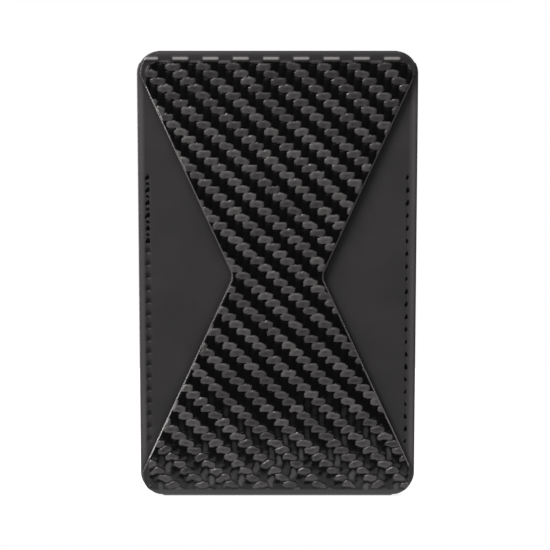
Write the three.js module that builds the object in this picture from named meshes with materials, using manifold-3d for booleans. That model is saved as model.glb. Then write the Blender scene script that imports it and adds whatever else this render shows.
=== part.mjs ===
// A stick-on phone wallet with a fold-out stand, in millimetres.
//
// The wallet stands upright: X runs across it, Z up along it, and its front faces -Y.
// The origin is the centre of the adhesive's outer face, so every layer is placed by its
// depth in front of that face, and depth d lies at y = -d.
//
// Three bodies are built flat, as the wallet lies closed:
//   pocket body   adhesive, rear layers, card pocket and the skin wrapped under its bottom edge
//   lower panel   the lower half of the hourglass stand, which swings on the bottom fold
//   upper panel   the upper half, which folds on the waist and has the free, magnetic edge

import * as THREE from 'three';
import { mergeVertices } from 'three/addons/utils/BufferGeometryUtils.js';
import Module from 'manifold-3d';

const wasm = await Module();
wasm.setup();

// ---- driving dimensions ----

const WIDTH = 61;
const HEIGHT = 98;
const CORNER_RADIUS = 4.8;
const ARC_STEPS = 10;

const HALF_WIDTH = WIDTH / 2;
const HALF_HEIGHT = HEIGHT / 2;

// Depths of the faces between layers, from the adhesive's outer face to the front.
const DEPTH = {
  adhesiveBack: 0,
  rearSkinBack: 0.6,
  rearBoardBack: 1.1,
  pocketLiningBack: 1.8,
  cardSpaceBack: 2.0,
  frontLiningBack: 2.9,
  frontSkinBack: 3.2,
  pocketFace: 3.8,
  standLiningBack: 3.9,
  standBoardBack: 4.2,
  standSkinBack: 4.9,
  standFace: 5.5,
};

const ADHESIVE_INSET = 3;

// The card pocket: its inner width takes a standard 54 mm card.
const POCKET_HALF_WIDTH = 27.5;
const POCKET_MOUTH = 46.5;
const POCKET_FLOOR = -45.2;
const LAYER_TOP = 48;
const NOTCH_HALF_WIDTH = 9;
const NOTCH_DEPTH = 11;

// The side seams.
const SEAM_X = 28.4;
const SEAM_BOTTOM = -37.4;
const SEAM_TOP = 22;
const SEAM_CHANNEL_WIDTH = 0.9;
const SEAM_CHANNEL_DEPTH = 0.25;
const THREAD_WIDTH = 0.4;
const THREAD_THICKNESS = 0.15;

// The hourglass stand: corners of each half, and its narrow waist.
const WAIST_HALF_WIDTH = 9.8;
const WAIST_RADIUS = 3;
const WIDE_CORNER_Z = 43.9;
const UPPER_SIDE_INSET = 0.75;
const LOWER_SIDE_INSET = 0.4;
const BOARD_INSET = 0.6;
const LINING_INSET = 0.2;

// The two folds: the waist fold lies at z = 0 behind the stand's skin, and the bottom fold
// on the skin's outer face. The stiff layers stop short of both, so that they can close.
const BOTTOM_FOLD_Z = -48;
const FOLD_GAP = 0.15;
const CREASE_GAP = 0.05;
const STIFF_SETBACK = 2.2;

// The free edge: the skin rolled round the end of the upper panel.
const ROLL_START = 47.4;

// The magnets in the free edge, and the steel plates that they catch: one beside each end of
// the thumb notch when the stand is closed, and a long one across the middle when it is open.
const MAGNET = { x: 18, z: 43.4, width: 14, height: 4, thickness: 0.5 };
const TOP_PLATE = { x: 18, z: 43.4, width: 14, height: 5, thickness: 0.25 };
const MIDDLE_PLATE = { x: 0, z: -1, width: 50, height: 6, thickness: 0.25 };

// Gaps between pieces that lie end to end, and round a piece let into another.
const FIT_GAP = 0.1;
const FIT_CLEARANCE = 0.15;

// ---- outlines, drawn in X and Z ----

function roundedPlate(halfWidth, halfHeight, radius) {
  const shape = new THREE.Shape();
  const x = halfWidth - radius;
  const z = halfHeight - radius;
  shape.moveTo(halfWidth, -z);
  shape.absarc(x, z, radius, 0, Math.PI / 2);
  shape.absarc(-x, z, radius, Math.PI / 2, Math.PI);
  shape.absarc(-x, -z, radius, Math.PI, 1.5 * Math.PI);
  shape.absarc(x, -z, radius, 1.5 * Math.PI, 2 * Math.PI);
  return shape;
}

function rectangle(xLow, xHigh, zLow, zHigh) {
  const shape = new THREE.Shape();
  shape.moveTo(xLow, zLow);
  shape.lineTo(xHigh, zLow);
  shape.lineTo(xHigh, zHigh);
  shape.lineTo(xLow, zHigh);
  shape.closePath();
  return shape;
}

// Half of the hourglass, from the waist to its wide end: side is 1 for the upper half and
// -1 for the lower half. The sides run straight from the rounded waist to the corner, then
// follow the wallet's own outline round its corners.
function stand(side, inset) {
  const sideInset = (side > 0 ? UPPER_SIDE_INSET : LOWER_SIDE_INSET) + inset;
  const wide = HALF_WIDTH - sideInset;
  const flare = Math.atan2(wide + inset - WAIST_HALF_WIDTH, WIDE_CORNER_Z);
  const corner = WAIST_HALF_WIDTH - inset / Math.cos(flare);
  const arcRadius = WAIST_RADIUS + inset;
  const arcCentre = corner + arcRadius / Math.cos(flare);
  const endRadius = CORNER_RADIUS - sideInset;
  const right = [];
  for (let i = 0; i <= ARC_STEPS; i += 1) {
    const turn = (flare * i) / ARC_STEPS;
    right.push([arcCentre - arcRadius * Math.cos(turn), arcRadius * Math.sin(turn)]);
  }
  right.push([wide, (wide - corner) / Math.tan(flare)]);
  for (let i = 0; i <= ARC_STEPS; i += 1) {
    const turn = (Math.PI / 2) * (i / ARC_STEPS);
    right.push([
      HALF_WIDTH - CORNER_RADIUS + endRadius * Math.cos(turn),
      HALF_HEIGHT - CORNER_RADIUS + (CORNER_RADIUS - inset) * Math.sin(turn),
    ]);
  }
  const left = right.map(([x, z]) => [-x, z]).reverse();
  return new THREE.Shape([...right, ...left].map(([x, z]) => new THREE.Vector2(x, side * z)));
}

function notch() {
  const shape = new THREE.Shape();
  const above = POCKET_MOUTH + 1;
  shape.moveTo(-NOTCH_HALF_WIDTH, above);
  shape.lineTo(-NOTCH_HALF_WIDTH, POCKET_MOUTH);
  shape.absellipse(0, POCKET_MOUTH, NOTCH_HALF_WIDTH, NOTCH_DEPTH, Math.PI, 2 * Math.PI);
  shape.lineTo(NOTCH_HALF_WIDTH, above);
  shape.closePath();
  return shape;
}

// ---- solids ----

function toSolid(geometry) {
  const bare = geometry.clone();
  bare.deleteAttribute('normal');
  bare.deleteAttribute('uv');
  const merged = mergeVertices(bare, 1e-5);
  return new wasm.Manifold(new wasm.Mesh({
    numProp: 3,
    vertProperties: new Float32Array(merged.attributes.position.array),
    triVerts: new Uint32Array(merged.index.array),
  }));
}

function toGeometry(solid) {
  const mesh = solid.getMesh();
  const geometry = new THREE.BufferGeometry();
  geometry.setAttribute('position', new THREE.BufferAttribute(mesh.vertProperties, 3));
  geometry.setIndex(new THREE.BufferAttribute(mesh.triVerts, 1));
  geometry.computeVertexNormals();
  return geometry;
}

// A flat layer of the given outline, between two depths.
function layer(outline, back, front) {
  const geometry = new THREE.ExtrudeGeometry(outline, {
    depth: front - back,
    bevelEnabled: false,
    curveSegments: ARC_STEPS,
  });
  geometry.rotateX(Math.PI / 2);
  geometry.translate(0, -back, 0);
  return toSolid(geometry);
}

function box(xLow, xHigh, back, front, zLow, zHigh) {
  return layer(rectangle(xLow, xHigh, zLow, zHigh), back, front);
}

function between(solid, zLow, zHigh) {
  return solid.intersect(box(-WIDTH, WIDTH, -1, DEPTH.standFace + 1, zLow, zHigh));
}

// A bar along X with a profile drawn in depth and Z.
function bar(profile) {
  const geometry = new THREE.ExtrudeGeometry(profile, {
    depth: WIDTH,
    bevelEnabled: false,
    curveSegments: ARC_STEPS,
  });
  const alongX = new THREE.Matrix4().set(
    0, 0, -1, HALF_WIDTH,
    -1, 0, 0, 0,
    0, 1, 0, 0,
    0, 0, 0, 1,
  );
  geometry.applyMatrix4(alongX);
  return toSolid(geometry);
}

const bodyOutline = roundedPlate(HALF_WIDTH, HALF_HEIGHT, CORNER_RADIUS);
const layerBottom = BOTTOM_FOLD_Z - FOLD_GAP;

// ---- the pocket body ----

function adhesivePad() {
  const outline = roundedPlate(
    HALF_WIDTH - ADHESIVE_INSET,
    HALF_HEIGHT - ADHESIVE_INSET,
    CORNER_RADIUS - 1,
  );
  return layer(outline, DEPTH.adhesiveBack, DEPTH.rearSkinBack);
}

function rearSkin() {
  const skin = layer(bodyOutline, DEPTH.rearSkinBack, DEPTH.rearBoardBack);
  return between(skin, layerBottom, HALF_HEIGHT);
}

function rearLayer(back, front) {
  return box(-POCKET_HALF_WIDTH, POCKET_HALF_WIDTH, back, front, layerBottom, LAYER_TOP);
}

function sideSpacer(side) {
  const inner = side * (POCKET_HALF_WIDTH + FIT_GAP);
  const outer = side * WIDTH;
  const strip = box(
    Math.min(inner, outer),
    Math.max(inner, outer),
    DEPTH.rearBoardBack,
    DEPTH.frontSkinBack,
    layerBottom,
    POCKET_MOUTH,
  );
  return strip.intersect(layer(bodyOutline, DEPTH.rearSkinBack, DEPTH.pocketFace));
}

function bottomSpacer() {
  return box(
    -POCKET_HALF_WIDTH,
    POCKET_HALF_WIDTH,
    DEPTH.cardSpaceBack,
    DEPTH.frontLiningBack,
    layerBottom,
    POCKET_FLOOR,
  );
}

// A thin plate or bar let into a layer: the clearance is for the window that it lies in.
function insert(size, side, back, front, clearance) {
  const x = side * size.x;
  const halfWidth = size.width / 2 + clearance;
  const halfHeight = size.height / 2 + clearance;
  return box(x - halfWidth, x + halfWidth, back, front, size.z - halfHeight, size.z + halfHeight);
}

function catchPlate(size, side) {
  return insert(size, side, DEPTH.frontSkinBack - size.thickness, DEPTH.frontSkinBack, 0);
}

function plateWindow(size, side) {
  return insert(size, side, DEPTH.cardSpaceBack, DEPTH.pocketFace, FIT_CLEARANCE);
}

function pocketFrontLining() {
  const sheet = rearLayer(DEPTH.frontLiningBack, DEPTH.frontSkinBack);
  return between(sheet, layerBottom, POCKET_MOUTH)
    .subtract(layer(notch(), DEPTH.rearSkinBack, DEPTH.standFace))
    .subtract(plateWindow(TOP_PLATE, -1))
    .subtract(plateWindow(TOP_PLATE, 1))
    .subtract(plateWindow(MIDDLE_PLATE, 1));
}

function seamChannel(side) {
  const x = side * SEAM_X;
  return box(
    x - SEAM_CHANNEL_WIDTH / 2,
    x + SEAM_CHANNEL_WIDTH / 2,
    DEPTH.pocketFace - SEAM_CHANNEL_DEPTH,
    DEPTH.pocketFace + 1,
    SEAM_BOTTOM,
    SEAM_TOP,
  );
}

function pocketFrontSkin() {
  const skin = layer(bodyOutline, DEPTH.frontSkinBack, DEPTH.pocketFace);
  return between(skin, layerBottom, POCKET_MOUTH)
    .subtract(layer(notch(), DEPTH.rearSkinBack, DEPTH.standFace))
    .subtract(seamChannel(-1))
    .subtract(seamChannel(1));
}

function seamThread(side) {
  const x = side * SEAM_X;
  const floor = DEPTH.pocketFace - SEAM_CHANNEL_DEPTH;
  return box(
    x - THREAD_WIDTH / 2,
    x + THREAD_WIDTH / 2,
    floor,
    floor + THREAD_THICKNESS,
    SEAM_BOTTOM + FIT_CLEARANCE,
    SEAM_TOP - FIT_CLEARANCE,
  );
}

// The skin wrapped under the wallet from the stand to the rear: its lower edges are round.
function bottomWrap() {
  const top = layerBottom - FIT_GAP;
  const round = HALF_HEIGHT + top;
  const profile = new THREE.Shape();
  profile.moveTo(DEPTH.rearSkinBack, top);
  profile.absarc(DEPTH.rearSkinBack + round, -HALF_HEIGHT + round, round, Math.PI, 1.5 * Math.PI);
  profile.absarc(DEPTH.standFace - round, -HALF_HEIGHT + round, round, 1.5 * Math.PI, 2 * Math.PI);
  profile.lineTo(DEPTH.standFace, top);
  profile.closePath();
  return bar(profile).intersect(layer(bodyOutline, 0, DEPTH.standFace + 1));
}

// ---- the stand's two panels ----

function standSkin(side) {
  const skin = layer(stand(side, 0), DEPTH.standSkinBack, DEPTH.standFace);
  return side > 0
    ? between(skin, CREASE_GAP, ROLL_START)
    : between(skin, BOTTOM_FOLD_Z + FOLD_GAP, -CREASE_GAP);
}

function stiffLayer(side, inset, back, front) {
  const sheet = layer(stand(side, inset), back, front);
  return side > 0
    ? between(sheet, STIFF_SETBACK, ROLL_START)
    : between(sheet, BOTTOM_FOLD_Z + STIFF_SETBACK, -STIFF_SETBACK);
}

function magnet(side) {
  const back = (DEPTH.standBoardBack + DEPTH.standSkinBack - MAGNET.thickness) / 2;
  return insert(MAGNET, side, back, back + MAGNET.thickness, 0);
}

function upperBoard() {
  return stiffLayer(1, BOARD_INSET, DEPTH.standBoardBack, DEPTH.standSkinBack)
    .subtract(insert(MAGNET, -1, DEPTH.standLiningBack, DEPTH.standFace, FIT_CLEARANCE))
    .subtract(insert(MAGNET, 1, DEPTH.standLiningBack, DEPTH.standFace, FIT_CLEARANCE));
}

// The free edge is a half-round nose as thick as the panel.
function edgeRoll() {
  const radius = (DEPTH.standFace - DEPTH.standLiningBack) / 2;
  const middle = DEPTH.standLiningBack + radius;
  const profile = new THREE.Shape();
  profile.moveTo(DEPTH.standLiningBack, ROLL_START + FIT_GAP);
  profile.lineTo(DEPTH.standFace, ROLL_START + FIT_GAP);
  profile.absarc(middle, HALF_HEIGHT - radius, radius, 0, Math.PI);
  profile.closePath();
  return bar(profile).intersect(layer(stand(1, 0), 0, DEPTH.standFace + 1));
}

// ---- materials ----

function finish(colour, roughness, metalness = 0) {
  return new THREE.MeshStandardMaterial({ color: colour, roughness, metalness });
}

const material = {
  smoothSkin: () => finish(0x393835, 0.55),
  wovenSkin: () => finish(0x1c1c1d, 0.3),
  lining: () => finish(0x1f1f20, 0.9),
  board: () => finish(0x2b2c2a, 0.7),
  steel: () => finish(0x9a9b9c, 0.35, 1),
  magnet: () => finish(0xb9bbbd, 0.2, 1),
  adhesive: () => finish(0x3a3a3c, 0.4),
  thread: () => finish(0x24231f, 0.8),
};

// ---- the assembly ----

function place(group, name, solid, makeMaterial) {
  const mesh = new THREE.Mesh(toGeometry(solid), makeMaterial());
  mesh.name = name;
  group.add(mesh);
}

const sides = { left: -1, right: 1 };

const pocketBody = new THREE.Group();
place(pocketBody, 'adhesive_pad', adhesivePad(), material.adhesive);
place(pocketBody, 'rear_skin', rearSkin(), material.smoothSkin);
place(pocketBody, 'rear_board', rearLayer(DEPTH.rearBoardBack, DEPTH.pocketLiningBack), material.board);
place(pocketBody, 'pocket_lining', rearLayer(DEPTH.pocketLiningBack, DEPTH.cardSpaceBack), material.lining);
for (const [name, side] of Object.entries(sides)) {
  place(pocketBody, `${name}_spacer`, sideSpacer(side), material.smoothSkin);
  place(pocketBody, `${name}_seam_thread`, seamThread(side), material.thread);
  place(pocketBody, `top_catch_plate_${name}`, catchPlate(TOP_PLATE, side), material.steel);
}
place(pocketBody, 'bottom_spacer', bottomSpacer(), material.lining);
place(pocketBody, 'pocket_front_lining', pocketFrontLining(), material.lining);
place(pocketBody, 'pocket_front_skin', pocketFrontSkin(), material.smoothSkin);
place(pocketBody, 'middle_catch_plate', catchPlate(MIDDLE_PLATE, 1), material.steel);
place(pocketBody, 'bottom_wrap', bottomWrap(), material.wovenSkin);

const lowerPanel = new THREE.Group();
place(lowerPanel, 'lower_weave_skin', standSkin(-1), material.wovenSkin);
place(lowerPanel, 'lower_board',
  stiffLayer(-1, BOARD_INSET, DEPTH.standBoardBack, DEPTH.standSkinBack), material.board);
place(lowerPanel, 'lower_lining',
  stiffLayer(-1, LINING_INSET, DEPTH.standLiningBack, DEPTH.standBoardBack), material.lining);

const upperPanel = new THREE.Group();
place(upperPanel, 'upper_weave_skin', standSkin(1), material.wovenSkin);
place(upperPanel, 'upper_board', upperBoard(), material.board);
place(upperPanel, 'upper_lining',
  stiffLayer(1, LINING_INSET, DEPTH.standLiningBack, DEPTH.standBoardBack), material.lining);
place(upperPanel, 'edge_roll', edgeRoll(), material.wovenSkin);
for (const [name, side] of Object.entries(sides)) {
  place(upperPanel, `edge_magnet_${name}`, magnet(side), material.magnet);
}

const wallet = new THREE.Group();
wallet.add(pocketBody, lowerPanel, upperPanel);

export default wallet;
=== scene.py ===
"""Looks of a stick-on card wallet whose hourglass front folds out into a phone stand.

Every shape is built in millimetres as (across, depth, up): depth is measured from the adhesive's
outer face towards the front, so a point lands at x, -depth, z in the frame, in metres.
"""

import math

import bmesh
import bpy
import numpy as np
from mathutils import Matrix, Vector


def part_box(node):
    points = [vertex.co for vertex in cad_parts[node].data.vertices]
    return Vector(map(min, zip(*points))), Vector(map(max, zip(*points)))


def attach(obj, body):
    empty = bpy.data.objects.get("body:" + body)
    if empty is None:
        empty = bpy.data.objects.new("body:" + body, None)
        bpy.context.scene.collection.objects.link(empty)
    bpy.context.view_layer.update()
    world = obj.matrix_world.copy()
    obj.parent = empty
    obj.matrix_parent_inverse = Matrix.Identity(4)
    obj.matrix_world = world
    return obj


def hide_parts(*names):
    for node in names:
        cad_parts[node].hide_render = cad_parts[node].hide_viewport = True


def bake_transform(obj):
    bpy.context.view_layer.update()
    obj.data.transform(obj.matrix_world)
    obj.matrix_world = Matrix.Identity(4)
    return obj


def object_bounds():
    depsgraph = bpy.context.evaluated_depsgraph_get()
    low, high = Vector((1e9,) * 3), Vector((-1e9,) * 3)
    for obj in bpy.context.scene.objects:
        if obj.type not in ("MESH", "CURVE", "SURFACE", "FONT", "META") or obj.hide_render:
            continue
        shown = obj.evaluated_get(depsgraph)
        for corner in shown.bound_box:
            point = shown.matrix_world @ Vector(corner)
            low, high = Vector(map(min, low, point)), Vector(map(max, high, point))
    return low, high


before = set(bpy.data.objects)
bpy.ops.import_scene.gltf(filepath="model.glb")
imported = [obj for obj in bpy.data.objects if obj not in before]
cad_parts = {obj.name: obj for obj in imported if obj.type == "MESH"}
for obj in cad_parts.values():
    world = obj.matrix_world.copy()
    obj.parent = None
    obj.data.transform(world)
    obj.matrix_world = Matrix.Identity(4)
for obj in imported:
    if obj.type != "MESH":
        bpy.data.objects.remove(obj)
cad_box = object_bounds()

MM = 0.001


def box_mm(node):
    """A CAD node's box as (low, high), each (across, depth, up) in millimetres."""
    low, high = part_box(node)
    return (
        np.array([low.x, -high.y, low.z]) / MM,
        np.array([high.x, -low.y, high.z]) / MM,
    )


# ---- sizes taken from the frame ----

HALF_WIDTH = cad_box[1].x / MM
HALF_HEIGHT = cad_box[1].z / MM
STAND_FACE = box_mm("upper_weave_skin")[1][1]
SKIN_INNER = box_mm("upper_weave_skin")[0][1]
LINING_FACE, LINING_FRONT = box_mm("upper_lining")[0][1], box_mm("upper_lining")[1][1]
LINING_END = box_mm("upper_lining")[1][2]
STIFF_SETBACK = box_mm("upper_lining")[0][2]
LOWER_LINING_END = box_mm("lower_lining")[0][2]
POCKET_BACK, POCKET_FACE = box_mm("pocket_front_skin")[0][1], box_mm("pocket_front_skin")[1][1]
POCKET_FOOT, POCKET_MOUTH = box_mm("pocket_front_skin")[0][2], box_mm("pocket_front_skin")[1][2]
REAR_BACK, REAR_FRONT = box_mm("rear_skin")[0][1], box_mm("rear_skin")[1][1]
SPACER_INNER = box_mm("right_spacer")[0][0]
SEAM_X = (box_mm("right_seam_thread")[0][0] + box_mm("right_seam_thread")[1][0]) / 2
SEAM_LOW, SEAM_HIGH = box_mm("right_seam_thread")[0][2], box_mm("right_seam_thread")[1][2]

# ---- the hourglass's outline ----

CORNER_RADIUS = 4.8
WAIST_HALF_WIDTH = 9.8
WAIST_RADIUS = 3.0
WIDE_CORNER_Z = 43.9
UPPER_INSET = 0.75
LOWER_INSET = 0.4

# ---- the weave ----

TOW_X = 1.63
TOW_Z = 1.5636
STEPS_PER_TOW = 8
WEAVE_X = 1.92
WEAVE_SKEW = 0.0103
WEAVE_TOP = 46.45
WEFT_HEIGHT = 0.34
WARP_HEIGHT = 0.2
FLOAT_LENGTH = 0.97
WEAVE_BASE = STAND_FACE - 0.15
WANDER = 0.07
PRESSED_FROM, PRESSED_TO = -26, -47
SLUMP_FROM, SLUMP_TO = 22, -5
WINDOW_CORNER = (3.1, 2.6)
WINDOW_SHIFT = 0.35
FADE_LOW, FADE_HIGH = -48.6, -46.4
CREASE_DEPTH = 0.07
CREASE_WIDTH = 0.3
PILLOW_Z = 47.4
PILLOW_LENGTH = 0.36
PILLOW_HEIGHT = 0.28
ROLL_START = 46.5
ROLL_DEPTH = 0.76
ROLL_ROUNDNESS = 0.65
ROLL_END_ANGLE = 150
BAND_LIFT = 0.1
WRAP_DROP = 0.45
WRAP_FRONT_RADIUS = 1.5
WRAP_BACK_RADIUS = 0.9
SPLIT_ROW = 58


def smooth(low, high, value):
    """0 at low and 1 at high, with a soft start and end. low may be the larger one."""
    t = np.clip((value - low) / (high - low), 0, 1)
    return t * t * (3 - 2 * t)


def scatter(a, b=0.0):
    """A repeatable number from 0 to 1 for each pair."""
    return np.mod(np.sin(a * 12.9898 + b * 78.233) * 43758.5453, 1.0)


def body_half_width(z):
    """Half the width of the wallet's outline at height z."""
    over = np.clip(np.abs(z) - (HALF_HEIGHT - CORNER_RADIUS), 0, CORNER_RADIUS)
    return HALF_WIDTH - CORNER_RADIUS + np.sqrt(CORNER_RADIUS**2 - over**2)


def stand_half_width(z, inset=0.0):
    """Half the width of the hourglass at height z, drawn in by inset."""
    side = np.where(z > 0, UPPER_INSET, LOWER_INSET) + inset
    rise = np.abs(z)
    wide = HALF_WIDTH - side
    flare = np.arctan2(wide + inset - WAIST_HALF_WIDTH, WIDE_CORNER_Z)
    corner = WAIST_HALF_WIDTH - inset / np.cos(flare)
    radius = WAIST_RADIUS + inset
    centre = corner + radius / np.cos(flare)
    waist = centre - np.sqrt(np.clip(radius**2 - rise**2, 0, None))
    sloped = corner + rise * np.tan(flare)
    half = np.where(rise < radius * np.sin(flare), waist, np.minimum(sloped, wide))
    end_radius = CORNER_RADIUS - side
    over = np.clip((rise - (HALF_HEIGHT - CORNER_RADIUS)) / CORNER_RADIUS, 0, 1)
    return np.minimum(half, HALF_WIDTH - CORNER_RADIUS + end_radius * np.sqrt(1 - over**2))


# ---- meshes ----


def make_object(name, points, faces, body=None, material=None, attributes=None, sharp=40):
    """A mesh object from points in millimetres, with smooth faces and its rest place kept for
    the materials, so that a weave or grain stays put when the piece bends."""
    points = np.asarray(points, float)
    mesh = bpy.data.meshes.new(name)
    placed = np.stack([points[:, 0], -points[:, 1], points[:, 2]], 1) * MM
    mesh.from_pydata(placed.tolist(), [], faces)
    rest = mesh.attributes.new("rest", "FLOAT_VECTOR", "POINT")
    rest.data.foreach_set("vector", points.astype(np.float32).ravel())
    for key, values in (attributes or {}).items():
        layer = mesh.attributes.new(key, "FLOAT", "POINT")
        layer.data.foreach_set("value", np.asarray(values, np.float32).ravel())
    mesh.validate()
    turn_outwards(mesh)
    mesh.shade_smooth()
    mesh.set_sharp_from_angle(angle=math.radians(sharp))
    piece = bpy.data.objects.new(name, mesh)
    bpy.context.scene.collection.objects.link(piece)
    if material:
        mesh.materials.append(material)
    if body:
        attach(piece, body)
    return piece


def turn_outwards(mesh):
    """Makes every face of the closed mesh point outwards."""
    work = bmesh.new()
    work.from_mesh(mesh)
    bmesh.ops.recalc_face_normals(work, faces=work.faces)
    work.to_mesh(mesh)
    work.free()


def loft(rings, index=None):
    """Faces that join closed rings of points, given as an array (ring, point, 3), with a cap on
    each end. index says which points of a ring are the same point."""
    count, size = rings.shape[:2]
    if index is None:
        index = np.tile(np.arange(size), (count, 1))
    ids = index + np.arange(count)[:, None] * size
    used, ids = np.unique(ids, return_inverse=True)
    ids = ids.reshape(count, size)
    points = rings.reshape(-1, 3)[used]
    a, b = ids[:-1], np.roll(ids, -1, 1)[:-1]
    c, d = np.roll(ids, -1, 1)[1:], ids[1:]
    faces = []
    for quad in np.stack([a, b, c, d], -1).reshape(-1, 4).tolist():
        corners = list(dict.fromkeys(quad))
        if len(corners) > 2:
            faces.append(corners)
    faces.append(list(dict.fromkeys(ids[0].tolist())))
    faces.append(list(dict.fromkeys(ids[-1].tolist()))[::-1])
    return points, faces, used


def relief_sheet(base, normal, half, columns, edge, height, walls):
    """Rings of a sheet with a raised pattern. base and normal are (depth, up) for each row, half
    the half width, columns the places across, edge the extra places near each side, height a
    function of (across, row) and walls the (inset, thickness) points behind each side."""
    rows = len(base)
    inner = half[:, None] - edge[0]
    middle = np.clip(columns[None, :], -inner, inner)
    first = np.argmax(columns[None, :] > -inner, axis=1)[:, None] - 1
    last = len(columns) - np.argmax(columns[None, ::-1] < inner, axis=1)[:, None]
    first = np.maximum(first, 0)
    last = np.minimum(last, len(columns) - 1)
    keep = np.clip(np.arange(len(columns))[None, :], first, last)
    left = -half[:, None] + np.array(edge[1:][::-1])[None, :]
    right = half[:, None] - np.array(edge[1:])[None, :]
    across = np.concatenate([left, middle, right], 1)
    index = np.concatenate(
        [
            np.tile(np.arange(left.shape[1]), (rows, 1)),
            keep + left.shape[1],
            np.tile(np.arange(right.shape[1]) + left.shape[1] + len(columns), (rows, 1)),
        ],
        1,
    )
    raised = height(across, np.arange(rows)[:, None] + 0 * across)
    front = np.stack(
        [
            across,
            base[:, :1] + normal[:, :1] * raised,
            base[:, 1:] + normal[:, 1:] * raised,
        ],
        -1,
    )
    behind = []
    for side, order in ((1, walls), (-1, walls[::-1])):
        for inset, thickness in order:
            inset = np.broadcast_to(inset, rows)
            thickness = np.broadcast_to(thickness, rows)
            behind.append(
                np.stack(
                    [
                        side * (half - inset),
                        base[:, 0] - normal[:, 0] * thickness,
                        base[:, 1] - normal[:, 1] * thickness,
                    ],
                    -1,
                )
            )
    behind = np.stack(behind, 1)
    extra = np.tile(np.arange(behind.shape[1]) + across.shape[1], (rows, 1))
    return np.concatenate([front, behind], 1), np.concatenate([index, extra], 1)


def rim_drop(distance, radius):
    """How far a surface falls towards its edge when the edge is rounded."""
    inside = np.clip(radius - distance, 0, radius)
    return radius - np.sqrt(radius**2 - inside**2)


def plate(name, outline, back, front, rim, body, material):
    """A flat sheet of the given outline, a list of (across, up), with rounded edges."""
    outline = np.asarray(outline, float)
    along = np.roll(outline, -1, 0) - np.roll(outline, 1, 0)
    along /= np.linalg.norm(along, axis=1)[:, None]
    inward = np.stack([-along[:, 1], along[:, 0]], 1)
    rings = []
    for turn in np.linspace(-90, 90, 9):
        angle = math.radians(turn)
        inset = rim * (1 - math.cos(angle))
        depth = (back + rim) if turn < 0 else (front - rim)
        place = outline + inward * inset
        level = np.full(len(outline), depth + rim * math.sin(angle))
        rings.append(np.stack([place[:, 0], level, place[:, 1]], 1))
    points, faces, _ = loft(np.array(rings))
    return make_object(name, points, faces, body, material)


def mirrored(right):
    """A closed outline from its right side, listed from the bottom up."""
    return right + [(-x, z) for x, z in reversed(right)]


# ---- materials ----


class Nodes:
    """A material's node tree, with short ways to add and join nodes."""

    def __init__(self, name):
        self.material = bpy.data.materials.new(name)
        self.material.use_nodes = True
        self.tree = self.material.node_tree
        self.shader = self.tree.nodes["Principled BSDF"]

    def add(self, kind, **inputs):
        node = self.tree.nodes.new(kind)
        for key, value in inputs.items():
            self.put(node, key, value)
        return node

    def put(self, node, key, value):
        socket = node.inputs[key]
        if isinstance(value, bpy.types.NodeSocket):
            self.tree.links.new(value, socket)
        else:
            socket.default_value = value

    def rest(self):
        return self.attribute("rest", "Vector")

    def attribute(self, name, output="Fac"):
        node = self.add("ShaderNodeAttribute")
        node.attribute_name = name
        return node.outputs[output]

    def place(self, scale):
        """The rest place in millimetres, scaled along each axis."""
        node = self.add("ShaderNodeMapping", Vector=self.rest(), Scale=scale)
        return node.outputs["Vector"]

    def noise(self, scale, detail=3.0, roughness=0.55, vector=None):
        node = self.add("ShaderNodeTexNoise", Scale=scale, Detail=detail, Roughness=roughness)
        self.put(node, "Vector", vector or self.rest())
        return node.outputs["Fac"]

    def math(self, operation, a, b):
        node = self.add("ShaderNodeMath")
        node.operation = operation
        self.put(node, 0, a)
        self.put(node, 1, b)
        return node.outputs[0]

    def spread(self, value, low, high, to_low, to_high):
        node = self.add("ShaderNodeMapRange", **{"Value": value, "From Min": low, "From Max": high})
        self.put(node, "To Min", to_low)
        self.put(node, "To Max", to_high)
        return node.outputs["Result"]

    def mix(self, share, a, b):
        node = self.add("ShaderNodeMix")
        node.data_type = "RGBA"
        for key, value in (("Factor", share), ("A", a), ("B", b)):
            socket = [s for s in node.inputs if s.name == key and s.enabled][0]
            if isinstance(value, bpy.types.NodeSocket):
                self.tree.links.new(value, socket)
            else:
                socket.default_value = value
        return [s for s in node.outputs if s.enabled][0]

    def bump(self, height, distance, strength=1.0, under=None):
        node = self.add("ShaderNodeBump", Height=height, Distance=distance, Strength=strength)
        if under is not None:
            self.put(node, "Normal", under)
        return node.outputs["Normal"]

    def finish(self, **inputs):
        for key, value in inputs.items():
            self.put(self.shader, key.replace("_", " "), value)
        return self.material


def grey(value, warmth=0.0):
    """A grey, its red raised by warmth."""
    return (value * (1 + warmth), value, value, 1.0)


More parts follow.
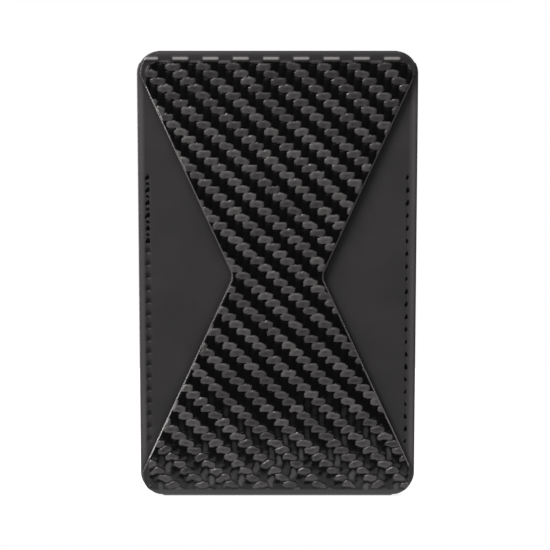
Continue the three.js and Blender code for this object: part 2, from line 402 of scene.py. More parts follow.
def woven_material():
    """Coated twill: the cross tows are a light grey, partly their own printed tone and partly
    painted sheen for the light they catch; the long tows stay near black.
    """
    n = Nodes("woven_skin")
    weft = n.attribute("weft")
    across = n.add("ShaderNodeTexWave", Vector=n.place((0, 0, 1)), Scale=1.6, Distortion=0.6)
    across.bands_direction = "Z"
    along = n.add("ShaderNodeTexWave", Vector=n.place((1, 0, 0)), Scale=1.6, Distortion=0.6)
    along.bands_direction = "X"
    filaments = n.mix(weft, along.outputs["Color"], across.outputs["Color"])
    patches = n.noise(0.5, 2.0)
    speckle = n.noise(6.0, 2.0)
    light = n.mix(patches, grey(0.050, 0.02), grey(0.075, 0.03))
    light = n.mix(n.spread(speckle, 0.35, 0.7, 0.0, 0.5), light, grey(0.040, 0.02))
    dark = n.mix(patches, grey(0.0010), grey(0.0020))
    colour = n.mix(weft, dark, light)
    colour = n.mix(n.attribute("rim"), colour, grey(0.045, 0.02))
    # Painted shade: the smooth border round the top edge is coloured darker than the skin's smooth
    # grey.
    colour = n.mix(n.attribute("border"), colour, grey(0.008, 0.02))
    # Painted light: the smoothed band round the bottom edge is coloured a lighter grey, as if lit
    # from below.
    colour = n.mix(n.attribute("band"), colour, grey(0.026, 0.02))
    # Painted highlight: the pillow tops in the border along the top edge are coloured light grey.
    colour = n.mix(n.attribute("painted_pillow_highlight"), colour, grey(0.13, 0.02))
    roughness = n.spread(weft, 0.0, 1.0, 0.24, 0.42)
    roughness = n.math("MAXIMUM", roughness, n.spread(n.attribute("border"), 0.0, 1.0, 0.0, 0.6))
    fine = n.bump(filaments, 0.012 * MM, 0.6)
    fine = n.bump(speckle, 0.02 * MM, 0.5, fine)
    n.shader.inputs["Specular IOR Level"].default_value = 0.27
    return n.finish(Base_Color=colour, Roughness=roughness, Normal=fine)


def smooth_material(name, base, roughness, grain=1.0):
    """Matt synthetic leather with a fine grain and faint cloudy variation."""
    n = Nodes(name)
    clouds = n.noise(0.08, 3.0)
    pores = n.add("ShaderNodeTexVoronoi", Vector=n.rest(), Scale=2.6)
    speckle = n.noise(5.0, 3.0)
    # Painted sheen: the strips beyond the seams are coloured lighter, for the light that their
    # rounded side edges catch.
    strip_painted_sheen = n.mix(n.attribute("strip"), grey(base, 0.02), grey(base * 2.9, 0.025))
    colour = n.mix(n.spread(clouds, 0.35, 0.65, 0.0, 0.35), strip_painted_sheen, grey(base * 1.25, 0.03))
    colour = n.mix(n.spread(speckle, 0.4, 0.75, 0.0, 0.25), colour, grey(base * 0.7, 0.0))
    # Painted shade: where the shade mark is set the colour goes towards near black, beside the
    # stand and at the pillows' lower ends.
    colour = n.mix(n.math("MULTIPLY", n.attribute("shade"), 0.6), colour, grey(base * 0.15))
    # Painted shade: the stitch holes go near black.
    colour = n.mix(n.attribute("pit"), colour, grey(0.0012))
    surface = n.bump(pores.outputs["Distance"], 0.02 * MM, 0.35 * grain)
    surface = n.bump(speckle, 0.02 * MM, 0.4 * grain, surface)
    rough = n.spread(clouds, 0.3, 0.7, roughness - 0.04, roughness + 0.05)
    rough = n.math("MINIMUM", rough, n.spread(n.attribute("pit"), 0.0, 1.0, 1.0, 0.15))
    n.shader.inputs["Specular IOR Level"].default_value = 0.35
    return n.finish(Base_Color=colour, Roughness=rough, Normal=surface)


def lining_material():
    """Microfibre with a short, uneven nap."""
    n = Nodes("lining")
    nap = n.noise(4.0, 4.0, 0.7)
    strokes = n.noise(0.35, 2.0, 0.5)
    colour = n.mix(nap, grey(0.010), grey(0.022, 0.01))
    colour = n.mix(n.spread(strokes, 0.4, 0.6, 0.0, 0.4), colour, grey(0.026, 0.01))
    surface = n.bump(nap, 0.05 * MM, 0.6)
    n.shader.inputs["Specular IOR Level"].default_value = 0.15
    return n.finish(Base_Color=colour, Roughness=0.95, Normal=surface, Sheen_Weight=0.06)


def adhesive_material():
    """Tacky gel: nearly smooth, with a faint orange-peel surface."""
    n = Nodes("adhesive")
    peel = n.noise(0.9, 2.0, 0.4)
    dust = n.noise(7.0, 3.0, 0.6)
    colour = n.mix(n.spread(dust, 0.55, 0.75, 0.0, 0.4), grey(0.030), grey(0.055, 0.01))
    surface = n.bump(peel, 0.05 * MM, 0.4)
    rough = n.spread(dust, 0.4, 0.7, 0.22, 0.4)
    return n.finish(Base_Color=colour, Roughness=rough, Normal=surface)


def board_material():
    """Glass-fibre board with a fine cross weave."""
    n = Nodes("board")
    fibre = n.noise(2.0, 4.0, 0.6, n.place((0.3, 1, 3)))
    colour = n.mix(fibre, grey(0.016), grey(0.034, 0.02))
    return n.finish(Base_Color=colour, Roughness=0.6, Normal=n.bump(fibre, 0.02 * MM, 0.5))


def metal_material(name, base, roughness, stretch):
    """Brushed metal, its noise drawn out along the axes where stretch is small."""
    n = Nodes(name)
    brushed = n.noise(3.0, 3.0, 0.6, n.place(stretch))
    colour = n.mix(brushed, grey(base * 0.85), grey(base))
    rough = n.spread(brushed, 0.3, 0.7, roughness - 0.05, roughness + 0.08)
    surface = n.bump(brushed, 0.01 * MM, 0.4)
    return n.finish(Base_Color=colour, Metallic=1.0, Roughness=rough, Normal=surface)


def thread_material():
    """Waxed thread: two plies twisted round each other."""
    n = Nodes("thread")
    plies = n.add("ShaderNodeTexWave", Vector=n.place((1, 0, 1)), Scale=1.4)
    plies.bands_direction = "DIAGONAL"
    colour = n.mix(plies.outputs["Fac"], grey(0.012), grey(0.035, 0.03))
    surface = n.bump(plies.outputs["Fac"], 0.05 * MM, 0.8)
    return n.finish(Base_Color=colour, Roughness=0.6, Normal=surface)


WOVEN = woven_material()
SMOOTH = smooth_material("smooth_skin", 0.016, 0.5)
REAR = smooth_material("rear_skin", 0.015, 0.55)
EDGE = smooth_material("edge_paint", 0.012, 0.45, 0.6)
LINING = lining_material()
ADHESIVE = adhesive_material()
BOARD = board_material()
STEEL = metal_material("steel", 0.45, 0.34, (0.2, 1, 4))
MAGNET = metal_material("magnet", 0.6, 0.2, (1, 1, 1))
THREAD = thread_material()


# ---- the stand's woven skin ----


def weave(across, up):
    """The twill's height and how much of a cross tow shows, at a place in millimetres.

    A cross tow floats over two long tows, then dives under two, and each row steps one tow to the
    right. A float is domed above, flatter below, and meets the next row's float at one corner."""
    ragged = up + 2.5 * np.sin(across / 4.1 + up / 2.7)
    pressed = smooth(PRESSED_FROM, PRESSED_TO, ragged)
    stir = 0.05 + 0.14 * pressed
    ripple = 0.08 * pressed
    x = across + WANDER * np.sin(up / 1.9 + 0.8 * np.sin(across / 2.3))
    x = x + stir * np.sin(up / 0.7 + across)
    x = x + ripple * np.sin(up / 0.31 + across / 1.3)
    z = up + WANDER * np.sin(across / 1.7 + up / 5.1)
    z = z + stir * np.sin(across / 0.6 + up / 2.2)
    z = z + ripple * np.sin(across / 0.37 + up / 0.9)
    u = (x - WEAVE_X + WEAVE_SKEW * (up - 31)) / TOW_X
    v = (WEAVE_TOP - z) / TOW_Z
    j, k = np.floor(u), np.floor(v)
    fu, fv = u - j, v - k
    phase = np.mod(j - k, 4)
    is_weft = phase < 2
    weft_id = scatter(k, np.floor((j - k) / 4))
    warp_id = scatter(j + 0.5, np.floor((j - k + 2) / 4))

    along = np.where(phase == 0, fu - 1, fu)
    band = 1 - 2 * fv + (0.5 * scatter(weft_id, 6.0) - 0.3) * along
    place = along / FLOAT_LENGTH
    crest = 0.3 * (scatter(weft_id, 1.0) - 0.4)
    off = np.abs(np.clip(place - crest, -1, 1))
    slump = smooth(SLUMP_FROM, SLUMP_TO, up)
    fall = 0.5 + 0.35 * scatter(weft_id, 2.0) + 0.2 * slump
    top = 1.16 - fall * off ** (1.8 - 0.4 * slump)
    lift = 0.35 + 0.3 * scatter(weft_id, 4.0) - 0.2 * slump
    foot = 1.06 - lift * np.abs(np.clip(place, -1, 1)) ** 3
    top = top * (1 - 0.16 * pressed)
    foot = foot * (1 - 0.12 * pressed)
    reach = np.clip(np.where(band > 0, band / top, -band / foot), 0, 1)
    dome = (1 - reach**3) ** 0.5
    ends = np.clip(1 - np.abs(place) ** 4, 0, 1) ** 0.6
    corner = np.where(phase == 0, band > 0, band < 0)
    tied = corner * smooth(0.15, 0.4, fu) * smooth(0.9, 0.65, fu)
    weft = ends * (dome + 0.75 * tied * (1 - pressed) * (1 - dome))
    lean = 1 + (0.35 * weft_id - 0.25) * along + 0.12 * band
    centre = np.exp(-(place**2) / 0.22 - band**2 / 0.16)
    dent = 0.25 * smooth(0.3, 0.9, scatter(weft_id, 7.0)) * centre
    weft_height = WEFT_HEIGHT * (0.8 + 0.3 * weft_id) * weft * lean * (1 - dent)

    down = np.where(phase == 3, fv - 1, fv)
    side = (2 * fu - 1) * (1 + 0.12 * (warp_id - 0.5))
    warp = np.clip(1 - side**2, 0, 1) ** 0.7 * np.clip(1 - np.abs(down) ** 2.6, 0, 1) ** 0.6
    warp_height = WARP_HEIGHT * (0.75 + 0.4 * warp_id) * warp
    height = np.where(is_weft, weft_height, warp_height)
    # Painted sheen: in the pressed lower part the long tows' crowns are coloured lighter, for the
    # light they catch there.
    warp_painted_sheen = 0.6 * pressed * smooth(0.5, 0.95, warp) * smooth(0.25, 0.9, scatter(warp_id, 5.0))
    # Painted shade: each cross tow's middle is coloured darker; the tow's grey also varies at
    # random from tow to tow.
    tone = (0.5 + 0.45 * scatter(weft_id, 3.0)) * (1 - 0.4 * centre)
    tone = tone * (1 - 0.3 * smooth(25, 46, up))
    patches = np.sin(across / 0.9 + 1.7 * np.sin(up / 1.1))
    patches = patches * np.sin(up / 0.8 + 1.3 * np.sin(across / 1.4))
    tone = tone * (1 - pressed * (0.2 + 0.35 * smooth(0.0, 0.8, patches)))
    shows = np.where(is_weft, smooth(0.05, 0.32, weft) * tone, warp_painted_sheen)
    return height, shows


def fade(up):
    """The weave sinks away towards the bottom fold."""
    return smooth(FADE_LOW, FADE_HIGH, up)


def window(across, up):
    """1 where the weave shows through the stand's smooth border, 0 on the border."""
    centre_x, centre_z = HALF_WIDTH - CORNER_RADIUS, HALF_HEIGHT - CORNER_RADIUS
    over_x = np.clip((np.abs(across - WINDOW_SHIFT) - centre_x) / WINDOW_CORNER[0], 0, None)
    over_z = np.clip((up - centre_z) / WINDOW_CORNER[1], 0, None)
    return smooth(1.06, 0.98, np.hypot(over_x, over_z))


def border_swell(across, up):
    """The long tows' ends show through the border as a row of soft pillows."""
    period = 4 * TOW_X
    middle = WEAVE_X + 2 * TOW_X
    off = np.abs(np.mod(across - middle + period / 2, period) - period / 2)
    return smooth(1.9, 1.5, off) * np.exp(-np.abs((up - PILLOW_Z) / PILLOW_LENGTH) ** 2.4)


def measured(depth, up):
    """A curve as (length so far, depth, up) at each of its points."""
    length = np.concatenate([[0], np.cumsum(np.hypot(np.diff(depth), np.diff(up)))])
    return length, depth, up


def roll_curve():
    """The free edge's rounded nose, past the straight part: (length, depth, up)."""
    angles = np.radians(np.linspace(0, ROLL_END_ANGLE, 400))
    turned = np.sign(np.cos(angles)) * np.abs(np.cos(angles)) ** ROLL_ROUNDNESS
    depth = WEAVE_BASE - ROLL_DEPTH + ROLL_DEPTH * turned
    up = ROLL_START + (HALF_HEIGHT - ROLL_START) * np.sin(angles) ** ROLL_ROUNDNESS
    return measured(depth, up)


def wrap_curve():
    """The skin's way under the wallet's bottom edge: (length, depth, up)."""
    lowest = -HALF_HEIGHT - WRAP_DROP
    front_centre = WEAVE_BASE - WRAP_FRONT_RADIUS
    back_centre = REAR_BACK + WRAP_BACK_RADIUS
    points = []
    for centre, radius, first, last, count in (
        (front_centre, WRAP_FRONT_RADIUS, 0, 90, 40),
        (back_centre, WRAP_BACK_RADIUS, 90, 180, 24),
    ):
        for turn in np.radians(np.linspace(first, last, count)):
            depth = centre + radius * math.cos(turn)
            points.append((depth, lowest + radius - radius * math.sin(turn)))
    points.append((REAR_BACK, POCKET_FOOT))
    return measured(*np.array(points).T)


def surface_rows(lengths, start, curve, direction):
    """Base points and outward normals (depth, up) at lengths along the skin: straight up to start,
    then along the curve."""
    length, depth, up = curve
    past = direction * (lengths - start)
    bent_depth = np.interp(past, length, depth)
    bent_up = np.interp(past, length, up)
    base = np.stack(
        [
            np.where(past <= 0, WEAVE_BASE, bent_depth),
            np.where(past <= 0, lengths, bent_up),
        ],
        1,
    )
    slope = np.gradient(base, axis=0)
    slope *= direction / np.linalg.norm(slope, axis=1)[:, None]
    normal = np.stack([slope[:, 1], -slope[:, 0]], 1)
    return base, normal


STEP_Z = TOW_Z / STEPS_PER_TOW
STEP_X = TOW_X / STEPS_PER_TOW
SPLIT_Z = WEAVE_TOP - SPLIT_ROW * TOW_Z
WEAVE_COLUMNS = WEAVE_X + STEP_X * np.arange(-160, 142)
EDGE_PLACES = (0.7, 0.55, 0.42, 0.32, 0.22, 0.12, 0.04, 0.0)
CHAMFER_WIDTH = 0.32
CHAMFER_DEPTH = 0.36


def woven_sheet(name, lengths, start, curve, direction, wall, core):
    """A stretch of the woven skin as a closed solid, wall thick along its sides and core thick
    between them."""
    base, normal = surface_rows(lengths, start, curve, direction)
    half = stand_half_width(base[:, 1])
    shows = {}

    def height(across, row):
        """The height above the base. The marks for the material are kept on the way."""
        rows = row.astype(int)
        up = lengths[rows]
        raised, weft = weave(across, up)
        open_here = window(across, up)
        strength = fade(up) * open_here
        crease = CREASE_DEPTH * np.exp(-((up / CREASE_WIDTH) ** 2))
        distance = half[rows] - np.abs(across)
        swell = border_swell(across, up)
        border = (1 - open_here) * (BAND_LIFT + PILLOW_HEIGHT * swell)
        # Painted highlight on the border's pillow tops.
        shows["painted_pillow_highlight"] = (1 - open_here) * smooth(0.3, 0.9, swell)
        shows["weft"] = weft * smooth(0.05, 0.5, strength)
        shows["border"] = 1 - open_here
        shows["band"] = smooth(0.5, 0.05, fade(up))
        shows["rim"] = np.maximum(1 - smooth(0.3, 0.42, distance), 1 - open_here)
        near_edge = smooth(0.3, 0.7, distance)
        chamfer = CHAMFER_DEPTH * np.clip(1 - distance / CHAMFER_WIDTH, 0, 1) ** 1.1
        return raised * strength * near_edge + border - crease - chamfer

    foot = CHAMFER_DEPTH + 0.03
    walls = [(0.03, foot + 0.05), (0.06, wall), (0.5, wall), (0.5, core)]
    rings, index = relief_sheet(base, normal, half, WEAVE_COLUMNS, EDGE_PLACES, height, walls)
    points, faces, used = loft(rings, index)
    marks = {}
    for key, values in shows.items():
        behind = np.full((len(lengths), 2 * len(walls)), 1.0 if key == "rim" else 0.0)
        marks[key] = np.concatenate([values, behind], 1).ravel()[used]
    return make_object(name, points, faces, None, WOVEN, marks, 60)


def stand_skin():
    """The hourglass from SPLIT_Z, a little above the bottom fold, to the rolled free edge."""
    curve = roll_curve()
    end = ROLL_START + curve[0][-1]
    lengths = SPLIT_Z + STEP_Z * np.arange(int((end - SPLIT_Z) / STEP_Z) + 1)

    lip = WEAVE_BASE - LINING_FRONT
    thin = WEAVE_BASE - SKIN_INNER
    open_ends = smooth(STIFF_SETBACK - 0.3, STIFF_SETBACK, np.abs(lengths))
    open_ends = open_ends * (1 - smooth(LINING_END - 1.0, LINING_END - 0.4, lengths))
    wall = thin + (lip - thin) * open_ends
    skin = woven_sheet("stand_skin", lengths, ROLL_START, curve, 1, wall, thin)
    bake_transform(skin)
    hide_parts("upper_weave_skin", "edge_roll", "lower_weave_skin")
    return skin


def bottom_skin():
    """The same skin below SPLIT_Z, smoothed out and wrapped under the wallet's bottom edge."""
    curve = wrap_curve()
    start = curve[2][0]
    end = start - curve[0][-1]
    lengths = SPLIT_Z - STEP_Z * np.arange(int((SPLIT_Z - end) / STEP_Z) + 1)

    thin = WEAVE_BASE - SKIN_INNER
    wall = thin + WRAP_DROP * smooth(start, start - 2.4, lengths)
    skin = woven_sheet("bottom_skin", lengths, start, curve, -1, wall, wall)
    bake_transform(skin)
    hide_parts("bottom_wrap")
    return skin


# ---- the pocket ----

STITCH_PITCH = 2.8
OPEN_SEAM_Z = 7.0
HOLE_DEPTH = 0.03
# Half the width and half the length of the holes.
LEFT_LARGE_HOLE = (0.42, 0.62)
LEFT_SMALL_HOLE = (0.42, 0.36)
RIGHT_HOLE = (0.31, 0.6)
LEFT_CHANNEL_DEPTH = 0.08
QUILT_STEP = 0.15
RIGHT_CHANNEL_DEPTH = 0.07
STRIP_HEIGHT = 0.07
# Width of the painted shadow beside the stand's edge.
STAND_SHADOW_WIDTH = 0.8
PANEL_RIM = 0.4
PANEL_ROWS = 620
PLAIN_COLUMNS = 56
SEAM_COLUMN_STEP = 0.1
STRIP_START = SEAM_X + 0.45


def stitch_places():
    """The height of each stitch hole, spread evenly over the seam from the bottom up."""
    count = int((SEAM_HIGH - SEAM_LOW) / STITCH_PITCH)
    start = (SEAM_LOW + SEAM_HIGH - count * STITCH_PITCH) / 2
    return start + STITCH_PITCH * np.arange(count + 1)


def stitch_hole(side, up, place, half_width, half_length, slant):
    """A teardrop hole, pointed above, from 0 outside to 1 at its middle."""
    rise = (up - place) / half_length
    width = half_width * (1 - 0.45 * np.clip(rise, -0.5, 1))
    return np.exp(-((((side - SEAM_X - slant * rise) / width) ** 2 + rise**2) ** 1.6))


def left_seam(side, up):
    """A soft quilted channel, its stitch holes pulled wide open near the top: (depth, hole,
    shade), where shade is painted shade that darkens a pillow's lower end."""
    within = np.mod(stitch_places()[0] - up, STITCH_PITCH) / STITCH_PITCH
    open_here = smooth(OPEN_SEAM_Z - 1, OPEN_SEAM_Z + 1, up)
    step = QUILT_STEP * (1 - open_here) * within**1.5 * smooth(1.0, 0.9, within)
    dimple = LEFT_CHANNEL_DEPTH + step
    channel = dimple * np.exp(-(np.abs(side - SEAM_X) / 0.55) ** 3)
    pillow = smooth(0.3, 0.75, within) * smooth(1.0, 0.93, within)
    # Painted shade: a dark patch at each quilted pillow's lower end.
    shade = 1.5 * (1 - open_here) * pillow * np.exp(-((side - SEAM_X) / 0.62) ** 4)
    holes = np.zeros_like(up)
    for number, place in enumerate(stitch_places()):
        size = 0.85 + 0.3 * scatter(number, 2.0)
        slant = -0.3 * (scatter(number, 1.0) - 0.1)
        width, length = LEFT_LARGE_HOLE
        large = stitch_hole(side, up, place, width * size, length * size, slant)
        width, length = LEFT_SMALL_HOLE
        between = place - STITCH_PITCH / 2
        small = stitch_hole(side, up, between, width * size, length, 0.12)
        holes = np.maximum(holes, (0.2 + 0.8 * open_here) * large)
        holes = np.maximum(holes, 0.7 * open_here * small)
    return channel, holes, shade


def right_seam(side, up):
    """A fine pressed line of small slanted holes: (depth, hole)."""
    holes = np.zeros_like(up)
    for number, place in enumerate(stitch_places()):
        size = 0.8 + 0.35 * scatter(number, 4.0)
        slant = 0.25 * (scatter(number, 6.0) - 0.35)
        shift = 0.12 * (scatter(number, 8.0) - 0.5)
        width, length = RIGHT_HOLE
        hole = stitch_hole(side - shift, up, place, width * size, length * size, slant)
        holes = np.maximum(holes, hole)
    return RIGHT_CHANNEL_DEPTH * np.exp(-(((side - SEAM_X) / 0.16) ** 2)), holes


def pocket_front():
    """The smooth panel with its raised border strips, seam channels and stitch holes."""
    rows = np.linspace(POCKET_FOOT, POCKET_MOUTH, PANEL_ROWS)
    base = np.stack([np.full(len(rows), POCKET_FACE), rows], 1)
    normal = np.tile([1.0, 0.0], (len(rows), 1))
    half = body_half_width(rows)
    seam_columns = np.arange(SEAM_X - 0.9, SEAM_X + 0.95, SEAM_COLUMN_STEP)
    plain = np.linspace(0, SEAM_X - 1.2, PLAIN_COLUMNS)
    right = np.concatenate([plain[1:], seam_columns, [SEAM_X + 1.15, SEAM_X + 1.35]])
    columns = np.concatenate([-right[::-1], [0.0], right])
    shows = {}

    def height(across, row):
        """The height above the base. The marks for the material are kept on the way."""
        up = rows[row.astype(int)]
        side = np.abs(across)
        distance = half[row.astype(int)] - side
        run = smooth(SEAM_LOW - 0.8, SEAM_LOW, up) * smooth(SEAM_HIGH + 0.8, SEAM_HIGH, up)
        left_depth, left_holes, left_shade = left_seam(side, up)
        right_depth, right_holes = right_seam(side, up)
        channel = run * np.where(across < 0, left_depth, right_depth)
        holes = run * np.where(across < 0, left_holes, right_holes)
        swell = 0.02 * np.sin(up / 7.0 + side / 9.0)
        strip = smooth(STRIP_START - 0.4, STRIP_START + 0.5, side)
        beside_stand = np.abs(side - stand_half_width(up))
        # Painted sheen: the strips beyond the seams are marked to be coloured lighter.
        sheen_strip_mask = smooth(STRIP_START - 0.3, STRIP_START + 1.0, side)
        shows["strip"] = sheen_strip_mask * smooth(0.1, 0.6, distance)
        # Painted shade: the stitch holes are coloured near black for their depth, though they sink
        # only HOLE_DEPTH.
        shows["pit"] = smooth(0.15, 0.45, holes)
        # Painted shadow: the panel is darkened in a band along the stand's edge, where the stand's
        # shade falls.
        painted_stand_shadow = np.exp(-beside_stand / STAND_SHADOW_WIDTH)
        shows["shade"] = np.maximum(painted_stand_shadow, run * (across < 0) * left_shade)
        rim = rim_drop(distance, PANEL_RIM)
        return STRIP_HEIGHT * strip + swell - channel - HOLE_DEPTH * holes - rim

    edge = (0.52, 0.34, 0.2, 0.09, 0.02, 0.0)
    walls = [(0.0, POCKET_FACE - POCKET_BACK)]
    rings, index = relief_sheet(base, normal, half, columns, edge, height, walls)
    points, faces, used = loft(rings, index)
    extra = np.zeros((len(rows), 2 * len(walls)))
    marks = {}
    for key, values in shows.items():
        marks[key] = np.concatenate([values, extra], 1).ravel()[used]
    panel = make_object("pocket_front", points, faces, None, SMOOTH, marks, 60)
    cut_notch(panel)
    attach(panel, "pocket_body")
    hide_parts("pocket_front_skin")
    return panel


NOTCH_HALF_WIDTH = 9.0
NOTCH_DEPTH = 11.0


def notch_outline(grow=0.0):
    """The thumb notch's rounded part, as (across, up) points from left to right."""
    turns = np.radians(np.linspace(180, 360, 49))
    return [
        (
            (NOTCH_HALF_WIDTH + grow) * math.cos(t),
            POCKET_MOUTH + (NOTCH_DEPTH + grow) * math.sin(t),
        )
        for t in turns
    ]


def cut_notch(panel):
    """Cuts the thumb notch out of the panel's upper edge."""
    top = POCKET_MOUTH + 2
    outline = notch_outline() + [(NOTCH_HALF_WIDTH, top), (-NOTCH_HALF_WIDTH, top)]
    rings = []
    for depth in (POCKET_BACK - 1, POCKET_FACE + 1):
        rings.append([(x, depth, z) for x, z in outline])
    points, faces, _ = loft(np.array(rings))
    cutter = make_object("notch_cutter", points, faces)
    cut = panel.modifiers.new("notch", "BOOLEAN")
    cut.operation = "DIFFERENCE"
    cut.object = cutter
    bake_modifiers(panel)
    bpy.data.objects.remove(cutter)


def bake_modifiers(piece):
    """Replaces the piece's mesh by the one that its modifiers make."""
    graph = bpy.context.evaluated_depsgraph_get()
    mesh = bpy.data.meshes.new_from_object(piece.evaluated_get(graph), depsgraph=graph)
    piece.modifiers.clear()
    piece.data = mesh
    mesh.shade_smooth()
    mesh.set_sharp_from_angle(angle=math.radians(45))


def tube(centres, radius, sides):
    """Rings round a line of centre points given as (across, depth, up)."""
    centres = np.asarray(centres, float)
    along = np.gradient(centres, axis=0)
    along /= np.linalg.norm(along, axis=1)[:, None]
    depth_axis = np.array([0.0, 1.0, 0.0])
    sideways = np.cross(along, depth_axis)
    sideways /= np.linalg.norm(sideways, axis=1)[:, None]
    upwards = np.cross(sideways, along)
    radius = np.broadcast_to(radius, len(centres))
    turns = np.linspace(0, 2 * math.pi, sides, endpoint=False)
    return np.stack(
        [
            centres + radius[:, None] * (math.cos(t) * sideways + math.sin(t) * upwards)
            for t in turns
        ],
        1,
    )


def notch_binding():
    """A bead of edge paint round the thumb notch."""
    middle = (POCKET_BACK + POCKET_FACE) / 2
    centres = [(x, middle, z) for x, z in notch_outline(-0.02)]
    points, faces, _ = loft(tube(centres, 0.3, 12))
    bead = make_object("notch_edge", points, faces, "pocket_body", EDGE, None, 70)


def seam_stitches(side, name):
    """Short stitches sunk under the seam. On the left's open part each one is raised, and shows
    below its hole."""
    points, faces = [], []
    for number, place in enumerate(stitch_places()):
        raised = side < 0 and place > OPEN_SEAM_Z
        high = place - (0.45 if raised else 0.0)
        low = place - (1.15 if raised else STITCH_PITCH)
        if low < SEAM_LOW:
            continue
        share = np.linspace(0, 1, 13)
        arch = np.sqrt(np.clip(1 - np.abs(2 * share - 1) ** 4, 0, 1))
        depth = POCKET_FACE - 0.6 + (0.36 if raised else 0.1) * arch
        wander = 0.12 * (scatter(number, side + 5.0) - 0.5)
        across = side * SEAM_X + wander * (2 * share - 1)
        centres = np.stack([across, depth, low + (high - low) * share], 1)
        swell = 0.2 * (1 - 0.35 * np.abs(2 * share - 1) ** 4)
        ring, quads, _ = loft(tube(centres, swell, 8))
        faces += [[corner + len(points) for corner in face] for face in quads]
        points += ring.tolist()
    stitches = make_object(f"{name}_stitches", points, faces, "pocket_body", THREAD, None, 70)
    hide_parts(f"{name}_seam_thread")


def side_wall(side, name):
    """The spacer between rear and front skin, its outer face a slightly crowned coat of paint."""
    rows = np.linspace(POCKET_FOOT, POCKET_MOUTH, 140)
    half = body_half_width(rows)
    back, front = REAR_FRONT, POCKET_BACK
    profile = [(None, back), (0.14, back), (0.03, back + 0.16), (0.0, back + 0.5)]
    profile += [(-0.02, (back + front) / 2), (0.0, front - 0.5), (0.03, front - 0.16)]
    profile += [(0.14, front), (None, front)]
    rings = []
    for up, wide in zip(rows, half):
        ring = []
        for inset, depth in profile:
            x = SPACER_INNER if inset is None else wide - inset
            ring.append((side * x, depth, up))
        rings.append(ring)
    points, faces, _ = loft(np.array(rings))
    wall = make_object(f"{name}_wall", points, faces, "pocket_body", EDGE)
    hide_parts(f"{name}_spacer")


def corner_arcs(half_width, half_height, radius, count):
    """The right side's rounded corners, lower and upper, each listed from the bottom up."""
    turns = np.radians(np.linspace(0, 90, count))
    x0, z0 = half_width - radius, half_height - radius
    lower = [(x0 + radius * math.sin(t), -z0 - radius * math.cos(t)) for t in turns]
    upper = [(x0 + radius * math.cos(t), z0 + radius * math.sin(t)) for t in turns]
    return lower, upper


def rear_skin():
    """The back's smooth skin, cut off level where the wrapped skin begins."""
    lower, upper = corner_arcs(HALF_WIDTH, HALF_HEIGHT, CORNER_RADIUS, 17)
    kept = [(x, z) for x, z in lower if z > POCKET_FOOT + 0.1]
    foot = (float(body_half_width(np.array(POCKET_FOOT))), POCKET_FOOT)
    outline = mirrored([foot] + kept + upper)
    skin = plate("rear_face", outline, REAR_BACK, REAR_FRONT, 0.2, "pocket_body", REAR)
    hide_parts("rear_skin")


def adhesive_pad():
    """The gel pad on the back."""
    low, high = box_mm("adhesive_pad")
    lower, upper = corner_arcs(high[0], high[2], CORNER_RADIUS - 1, 13)
    outline = mirrored(lower + upper)
    pad = plate("adhesive_gel", outline, low[1], high[1], 0.22, "pocket_body", ADHESIVE)
    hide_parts("adhesive_pad")


def stand_lining(side, name, start, end):
    """The microfibre that closes the back of a stand panel."""
    inset = 0.12
    levels = list(np.linspace(start, WIDE_CORNER_Z, 24)) + list(np.linspace(44.3, end, 10))
    right = [(float(stand_half_width(np.array(side * z), inset)), side * z) for z in levels]
    if side < 0:
        right = right[::-1]
    outline = mirrored(right)
    body = f"{name}_panel"
    sheet = plate(f"{name}_backing", outline, LINING_FACE, LINING_FRONT, 0.12, body, LINING)
    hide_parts(f"{name}_lining")


stand_skin()
bottom_skin()
pocket_front()
notch_binding()
for wall_side, wall_name in ((-1, "left"), (1, "right")):
    seam_stitches(wall_side, wall_name)
    side_wall(wall_side, wall_name)
rear_skin()
adhesive_pad()
stand_lining(1, "upper", STIFF_SETBACK, LINING_END)
stand_lining(-1, "lower", STIFF_SETBACK, -LOWER_LINING_END)

# ---- the CAD pieces that stay ----

CARRIED = {
    "rear_board": BOARD,
    "upper_board": BOARD,
    "lower_board": BOARD,
    "pocket_lining": LINING,
    "pocket_front_lining": LINING,
    "bottom_spacer": LINING,
    "top_catch_plate_left": STEEL,
    "top_catch_plate_right": STEEL,
    "middle_catch_plate": STEEL,
    "edge_magnet_left": MAGNET,
    "edge_magnet_right": MAGNET,
}
for node_name, finish in CARRIED.items():
    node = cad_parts[node_name]
    node.data.materials.clear()
    node.data.materials.append(finish)


# ---- camera, floor and light ----

CAMERA_DISTANCE = 0.4
CAMERA_HEIGHT_ANGLE = math.radians(7.7)
FRAME_WIDTH = 0.1212
AIM = Vector((-0.00055, -0.0028, 0.00003))
FLOOR_GREY = 0.25
FLOOR_GLOW = 0.85
ROOM_LIGHT = 0.84
LIGHT_TINT = (1.03, 0.985, 0.985)
# Each lamp's name, place in metres, width and height in metres, and power in watts.
LAMPS = (
    ("key", (-0.28, -0.30, 0.42), (0.25, 0.25), 5.5),
    ("left_strip", (-0.46, 0.055, 0.06), (0.08, 0.55), 3.6),
    ("right_strip", (0.46, 0.055, 0.15), (0.08, 0.14), 0.5),
)


def add_camera():
    """The camera, in front and a little above, with a long lens."""
    data = bpy.data.cameras.new("camera")
    data.sensor_width = 36
    data.lens = data.sensor_width * CAMERA_DISTANCE / FRAME_WIDTH
    data.clip_start, data.clip_end = 0.01, 20
    camera = bpy.data.objects.new("camera", data)
    bpy.context.scene.collection.objects.link(camera)
    back = Vector((0, -math.cos(CAMERA_HEIGHT_ANGLE), math.sin(CAMERA_HEIGHT_ANGLE)))
    camera.location = AIM + back * CAMERA_DISTANCE
    camera.rotation_mode = "QUATERNION"
    camera.rotation_quaternion = (-back).to_track_quat("-Z", "Y")
    bpy.context.scene.camera = camera


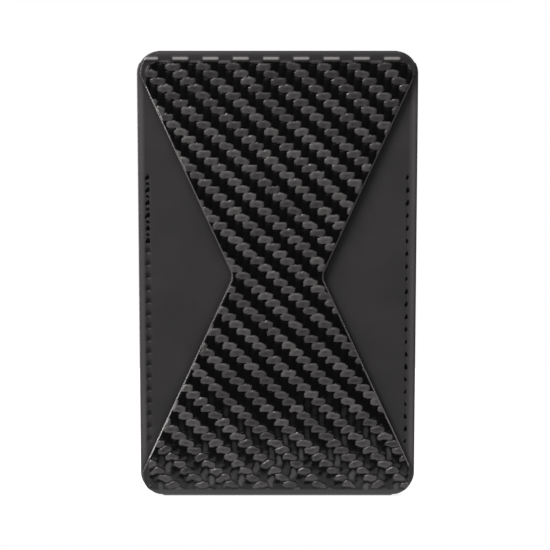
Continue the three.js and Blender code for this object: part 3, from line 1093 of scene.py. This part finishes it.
def add_floor():
    """A pale table top whose front edge lies just ahead of the wallet."""
    low = -HALF_HEIGHT - WRAP_DROP - 0.1
    right, front, back, radius = 110, 26, 150, 24
    outline = []
    corners = ((right, -back, -90), (right, front, 0), (-right, front, 90), (-right, -back, 180))
    for x, depth, start in corners:
        centre_x = x - math.copysign(radius, x)
        centre_depth = depth - math.copysign(radius, depth)
        for turn in np.radians(np.linspace(start, start + 90, 13)):
            turned_x = centre_x + radius * math.cos(turn)
            outline.append((turned_x, centre_depth + radius * math.sin(turn)))
    rings = [[(x, depth, level) for x, depth in outline] for level in (low, low - 2)]
    points, faces, _ = loft(np.array(rings))
    n = Nodes("floor")
    n.finish(Base_Color=grey(FLOOR_GREY), Roughness=0.9)
    n.shader.inputs["Emission Color"].default_value = (1, 1, 1, 1)
    n.shader.inputs["Emission Strength"].default_value = FLOOR_GLOW
    floor = make_object("floor", points, faces, None, n.material)


def add_area(name, place, size, power):
    """A rectangular lamp that faces the wallet."""
    data = bpy.data.lights.new(name, "AREA")
    data.shape = "RECTANGLE"
    data.size, data.size_y = size
    data.energy = power
    data.color = LIGHT_TINT
    light = bpy.data.objects.new(name, data)
    bpy.context.scene.collection.objects.link(light)
    light.location = place
    light.rotation_mode = "QUATERNION"
    light.rotation_quaternion = (-Vector(place)).to_track_quat("-Z", "Y")


def add_world():
    """A white room that shines in gloss only from above, as under one wide overhead softbox."""
    world = bpy.data.worlds.new("world")
    bpy.context.scene.world = world
    world.use_nodes = True
    tree = world.node_tree
    background = tree.nodes["Background"]
    place = tree.nodes.new("ShaderNodeTexCoord")
    parts = tree.nodes.new("ShaderNodeSeparateXYZ")
    tree.links.new(place.outputs["Generated"], parts.inputs[0])
    ramp = tree.nodes.new("ShaderNodeMapRange")
    ramp.interpolation_type = "SMOOTHSTEP"
    tree.links.new(parts.outputs["Z"], ramp.inputs["Value"])
    ramp.inputs["From Min"].default_value = 0.1
    ramp.inputs["From Max"].default_value = 0.85
    ramp.inputs["To Min"].default_value = 0.03
    ramp.inputs["To Max"].default_value = 1.0
    path = tree.nodes.new("ShaderNodeLightPath")
    shade = tree.nodes.new("ShaderNodeMix")
    tree.links.new(path.outputs["Is Glossy Ray"], shade.inputs["Factor"])
    shade.inputs["A"].default_value = ROOM_LIGHT
    tree.links.new(ramp.outputs["Result"], shade.inputs["B"])
    seen = tree.nodes.new("ShaderNodeMix")
    tree.links.new(path.outputs["Is Camera Ray"], seen.inputs["Factor"])
    tree.links.new(shade.outputs["Result"], seen.inputs["A"])
    seen.inputs["B"].default_value = 1.0
    tree.links.new(seen.outputs["Result"], background.inputs["Strength"])
    tint = tree.nodes.new("ShaderNodeMix")
    tint.data_type = "RGBA"
    tree.links.new(path.outputs["Is Camera Ray"], tint.inputs[0])
    tint.inputs[6].default_value = (*LIGHT_TINT, 1)
    tint.inputs[7].default_value = (1, 1, 1, 1)
    tree.links.new(tint.outputs[2], background.inputs["Color"])


add_camera()
add_floor()
add_world()
for lamp in LAMPS:
    add_area(*lamp)
bpy.context.scene.view_settings.view_transform = "Standard"
